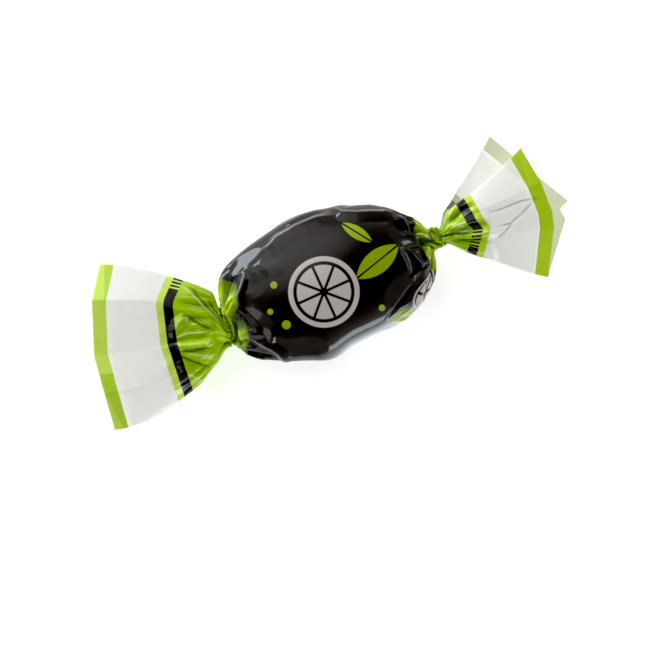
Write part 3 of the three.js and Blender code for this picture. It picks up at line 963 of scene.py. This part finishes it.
def sleeve_material():
    material = bpy.data.materials.new("printed_film_body")
    nodes = Nodes(material)
    around, along = nodes.uv()
    film_x = nodes.multiply(nodes.math("SUBTRACT", along, 0.5), UV_SPAN)
    unrolled = nodes.multiply(around, FILM_ROUND)
    place = nodes.place()
    x, y, z = nodes.parts(place)
    past_black, on_left = black_limit(nodes, film_x, x, y, z, place)
    grey, lime = body_marks(nodes, x, y, z, unrolled)
    # The near side's milky margin: partly unprinted film, partly a painted reflection of the pale floor
    colour = nodes.blend(margin_and_sheen(nodes, x, unrolled), BLACK, MILKY_SHEEN)
    colour = nodes.blend(grey, colour, GREY)
    colour = nodes.blend(lime, colour, LEAF_LIME)
    # Painted highlights along the crests of the black film's folds
    colour = nodes.tinted(colour, (nodes.stored("crest"), 0.42, BLACK_CREST_HIGHLIGHT))
    gathered = nodes.step(past_black, 0.0, 0.06)
    colour = nodes.blend(gathered, colour, gather_lime(nodes, place, past_black, on_left))
    film_shader(nodes, colour, 1.0, crinkle_bump(nodes, 0.06, 0.7), 0.12)
    return material


def deep_lime(nodes, around, out, from_edge, stripe, marks):
    """Where a fan's lime is deep: in two wedges of its edge stripe, and near the pinch."""
    from_corner = nodes.math("SUBTRACT", around, marks["doubled"][0])
    slant = nodes.math("ADD", nodes.math("DIVIDE", out, 1.3), nodes.math("DIVIDE", from_corner, 8.5))
    doubled = nodes.between(around, *marks["doubled"], PRINT_SOFT)
    doubled = nodes.multiply(doubled, nodes.scaled(nodes.step(slant, 1.0, PRINT_SOFT), 0.4, 0.3), stripe)
    to_far_end = nodes.math("SUBTRACT", around, marks["width"] - 6.5)
    slant = nodes.math("ADD", out, nodes.multiply(nodes.math("MAXIMUM", to_far_end, 0.0), 0.2))
    wedge = nodes.multiply(nodes.step(slant, 1.95, 0.06), stripe, nodes.step(to_far_end, 0.2, 0.2))
    near_pinch = nodes.step(from_edge, BLACK_TO, 0.1)
    return nodes.highest(doubled, nodes.multiply(wedge, 0.6), near_pinch)


def fan_lime(nodes, place, from_edge, deep, inks):
    """The lime of a fan's film, with painted light on raised folds and painted shade in their hollows near
    the pinch, painted highlights on its crests and painted shade in its grooves.
    """
    near_pinch = nodes.step(from_edge, BLACK_TO + 0.8, 1.2)
    fold = nodes.stored("fold")
    depth = nodes.negative(fold)
    middling = nodes.blend(0.4, inks["lime"], inks["lime_deep"])
    lime = nodes.blend(nodes.noise(place, 0.4, 2.0), inks["lime"], middling)
    return nodes.tinted(
        nodes.blend(deep, lime, inks["lime_deep"]),
        # Painted light on raised folds, painted shade in hollows, painted highlights on crests and painted
        # shade in grooves
        (nodes.multiply(near_pinch, nodes.step(fold, 0.18, 0.22)), 0.35, inks["lit"]),
        (nodes.multiply(near_pinch, nodes.step(depth, 0.14, 0.16)), 0.6, inks["shade"]),
        (nodes.multiply(near_pinch, nodes.step(depth, 0.26, 0.05)), 0.65, inks["shade"]),
        (nodes.stored("crest"), 0.5, inks["crest_highlight"]),
        (nodes.stored("groove"), 0.75, inks["shade"]),
    )


def black_stripe(nodes, around, from_edge, marks):
    """Where a fan's black stripe is, less the dashes left out of it in one place."""
    stripe = nodes.between(from_edge, BLACK_FROM, BLACK_TO, STRIPE_SOFT)
    ticks = nodes.math("PINGPONG", around, marks["tick"] / 2)
    ticks = nodes.step(ticks, marks["tick"] * 0.22, PRINT_SOFT)
    dashed = nodes.between(around, *marks["dashes"], PRINT_SOFT)
    return nodes.multiply(stripe, nodes.opposite(nodes.multiply(dashed, nodes.opposite(ticks))))


def clear_film(nodes, place, around, out, inks, width):
    """Colour and opacity of a fan's clear film, with painted shade along its grooves, a darker line along
    the film's free ends, painted white highlights along its crests, and a white line beside the edge stripe.
    """
    clear_alpha = inks["clear_alpha"]
    crest = nodes.stored("crest")
    free_end = nodes.opposite(nodes.between(around, FREE_END, width - FREE_END, 0.06))
    # Painted shade along the grooves, and a darker line along the free ends
    shaded_lines = nodes.highest(nodes.stored("groove"), nodes.multiply(free_end, 0.5))
    beside_stripe = nodes.multiply(nodes.between(out, EDGE_STRIPE, EDGE_STRIPE + 0.25, PRINT_SOFT), 0.7)
    colour = nodes.tinted(inks["clear"], (shaded_lines, 0.8, CLEAR_GROOVE_SHADE))
    # Painted white highlights along the crests, and a white line beside the edge stripe
    colour = nodes.blend(nodes.highest(crest, beside_stripe), colour, WHITE)
    milky = nodes.scaled(nodes.step(out, EDGE_STRIPE + 0.5, 0.4), 0.16, 0.84)
    cloudy = nodes.scaled(nodes.noise(place, 0.22, 2.0), 0.3, 0.85)
    # The painted shade and highlight lines are made more opaque
    lines = nodes.multiply(nodes.highest(shaded_lines, crest), 1.4 * clear_alpha)
    return colour, nodes.highest(nodes.multiply(milky, clear_alpha, cloudy), lines)


def fan_material(name, marks, inks):
    """A fan's film, printed by its place along and from the cut edge."""
    material = bpy.data.materials.new(name)
    nodes = Nodes(material)
    around, out = (nodes.multiply(number, UV_SPAN) for number in nodes.uv())
    place = nodes.place()
    from_edge = nodes.math("SUBTRACT", out, nodes.curve(around, marks["shift"], 0.0, 1.0, "VECTOR"))
    stripe = nodes.below(out, EDGE_STRIPE, STRIPE_SOFT)
    printed = nodes.highest(stripe, nodes.step(from_edge, LINE_FROM, STRIPE_SOFT))
    deep = deep_lime(nodes, around, out, from_edge, stripe, marks)
    clear, clear_alpha = clear_film(nodes, place, around, out, inks, marks["width"])
    colour = nodes.blend(printed, clear, fan_lime(nodes, place, from_edge, deep, inks))
    colour = nodes.blend(black_stripe(nodes, around, from_edge, marks), colour, inks["black"])
    printed_alpha = nodes.multiply(printed, inks["printed_alpha"])
    alpha = nodes.math("ADD", printed_alpha, nodes.multiply(nodes.opposite(printed), clear_alpha))
    film_shader(nodes, colour, alpha, crinkle_bump(nodes, 0.014, 0.8), 0.1)
    return material


def fan_materials(name, marks):
    """A fan's printed side, and its back, through which the print shows palely."""
    outside = fan_material(name, marks, OUTSIDE_INKS | {"lime": marks["light"]})
    inside = fan_material(name + "_back", marks, INSIDE_INKS)
    return outside, inside


# ------------ stage, light and camera
def make_floor():
    mesh = bpy.data.meshes.new("floor")
    corners = [(-FLOOR_HALF, -FLOOR_HALF, 0), (FLOOR_HALF, -FLOOR_HALF, 0)]
    corners += [(FLOOR_HALF, FLOOR_HALF, 0), (-FLOOR_HALF, FLOOR_HALF, 0)]
    mesh.from_pydata(corners, [], [(0, 1, 2, 3)])
    material = bpy.data.materials.new("floor_white")
    Nodes(material).surface({
        "Base Color": (0.8, 0.8, 0.8),
        "Roughness": 0.9,
        "Specular IOR Level": 0.1,
        "Emission Color": WHITE,
        "Emission Strength": FLOOR_GLOW,
    })
    mesh.materials.append(material)
    floor = add_object("floor", mesh)
    floor.location = (0, 0, -0.05 * MM)
    return floor


def direction(azimuth, elevation):
    """Towards a place in the sky. Azimuth 0 is the right of the photo and 90 its top."""
    turn = math.radians(azimuth - VIEW_ROLL)
    up = math.radians(elevation)
    return math.cos(up) * math.cos(turn), math.cos(up) * math.sin(turn), math.sin(up)


def add_softbox(name, azimuth, elevation, width, height, brightness, tint=WHITE):
    """A soft light 1 m away, aimed at the sweet, with its angles in degrees and its sizes in metres."""
    light = bpy.data.lights.new(name, "AREA")
    light.shape = "RECTANGLE"
    light.size = width
    light.size_y = height
    light.energy = brightness * math.pi * width * height
    light.color = tint
    lamp = add_object(name, light)
    lamp.location = direction(azimuth, elevation)
    lamp.rotation_euler = (math.radians(90 - elevation), 0, math.radians(azimuth - VIEW_ROLL + 90))


def make_camera():
    data = bpy.data.cameras.new("camera")
    data.sensor_width = SENSOR
    data.lens = SENSOR * (CAMERA_HEIGHT - VIEW_PLANE) / VIEW_WIDTH
    data.clip_start = 0.05
    data.clip_end = 20.0
    camera = add_object("camera", data)
    camera.location = (VIEW_CENTRE[0] * MM, VIEW_CENTRE[1] * MM, CAMERA_HEIGHT * MM)
    camera.rotation_euler = (0, 0, math.radians(-VIEW_ROLL))
    bpy.context.scene.camera = camera


def make_world():
    """A dim sky, lighter near the horizon, with one soft window."""
    world = bpy.data.worlds.new("studio")
    nodes = Nodes(world)
    towards = nodes.add("ShaderNodeTexCoord").outputs["Generated"]
    up = nodes.parts(towards)[2]
    sky = nodes.ramp(up, SKY_RISE, SKY_LIGHT, interpolation_type="SMOOTHSTEP")
    facing = nodes.add("ShaderNodeVectorMath", {0: towards, 1: direction(*WINDOW)}, operation="DOT_PRODUCT")
    facing = facing.outputs["Value"]
    window = nodes.ramp(facing, WINDOW_EDGE, (0.0, WINDOW_LIGHT), interpolation_type="SMOOTHSTEP")
    inputs = {0: nodes.math("ADD", sky, window), 1: SKY_TINT}
    warm = nodes.add("ShaderNodeVectorMath", inputs, operation="MULTIPLY")
    light = {"Color": warm.outputs[0], "Strength": 1.0}
    nodes.surface(light, "ShaderNodeBackground", "ShaderNodeOutputWorld")
    bpy.context.scene.world = world


def set_tones():
    view = bpy.context.scene.view_settings
    view.view_transform = "Standard"
    view.use_curve_mapping = True
    view.curve_mapping.black_level = (BLACK_LEVEL,) * 3


# ------------ the scene
# A fan's print, by the place along its cut edge: where the film is doubled, where dashes are, and how far
# the print is off its usual distance from that edge
LEFT_MARKS = {
    "doubled": (24.5, 34.0),
    "dashes": (47.6, 60.0),
    "tick": 0.8,
    "width": film_width(LEFT),
    "light": (0.60, 0.79, 0.13),
    "shift": [(0.0, 0.6), (25.7, 0.85), (36.3, 0.55), (45.2, 0.0), (52.0, 0.95)],
}
RIGHT_MARKS = {
    "doubled": (200.0, 300.0),  # past the film's end, so nowhere
    "dashes": (30.0, 36.5),
    "tick": 1.3,
    "width": film_width(RIGHT),
    "light": (0.46, 0.66, 0.024),
    "shift": [(0.0, 0.4), (27.3, 0.6), (36.5, 0.0), (40.0, 0.5), (48.0, 0.5)],
}
sleeve = make_sleeve(sleeve_material())
fan_left = make_fan("fan_left", LEFT, LEFT_FOLDS, *fan_materials("film_left", LEFT_MARKS))
fan_right = make_fan("fan_right", RIGHT, RIGHT_FOLDS, *fan_materials("film_right", RIGHT_MARKS))
for piece in (sleeve, fan_left, fan_right):
    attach(piece, "root")
    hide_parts("wrapped_candy")

make_floor()
make_world()
set_tones()
make_camera()
add_softbox("upper", 143, 9, 0.9, 0.28, 12.0, (0.86, 0.94, 1.0))
add_softbox("right", 15, 18, 0.5, 0.2, 7.0)
add_softbox("lower", 300, 7, 0.8, 0.24, 9.0, (0.92, 0.96, 1.0))
add_softbox("left", 215, 20, 0.8, 0.3, 2.4)
add_softbox("back", 75, 17, 0.4, 0.12, 10.0)
